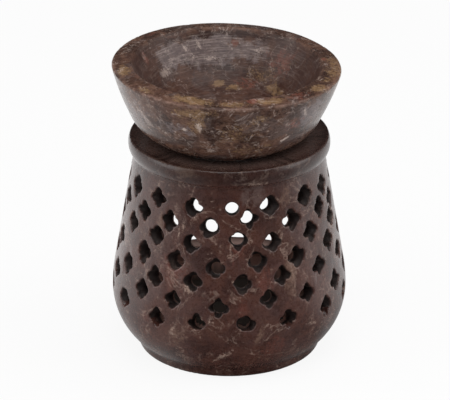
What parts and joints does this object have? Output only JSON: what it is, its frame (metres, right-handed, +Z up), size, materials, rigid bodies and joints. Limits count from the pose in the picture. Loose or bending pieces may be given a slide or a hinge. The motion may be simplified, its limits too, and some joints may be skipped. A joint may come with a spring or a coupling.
{
  "type": "essential oil burner",
  "caption": "Pierced stone oil burner: a round openwork body with a candle chamber and back arch, under a loose shallow bowl.",
  "frame": {"origin": "centre of the base, on the surface that the burner stands on", "axes": "+Z up along the body's turning axis; the front faces -Y and the candle arch faces +Y"},
  "size_m": [0.0788, 0.0788, 0.1015],
  "materials": {
    "body_stone": "hand-polished dark brown soapstone with pale flecks and veins",
    "bowl_stone": "hand-polished mottled brown and ochre soapstone, worn grey inside"
  },
  "bodies": {
    "body": {"pierced_body": "body_stone"},
    "bowl": {"bowl": "bowl_stone"}
  },
  "joints": [
    {"name": "bowl_lift", "type": "slide", "parent": "body", "child": "bowl", "axis": [0, 0, 1], "range_m": [0, 0.04]}
  ]
}
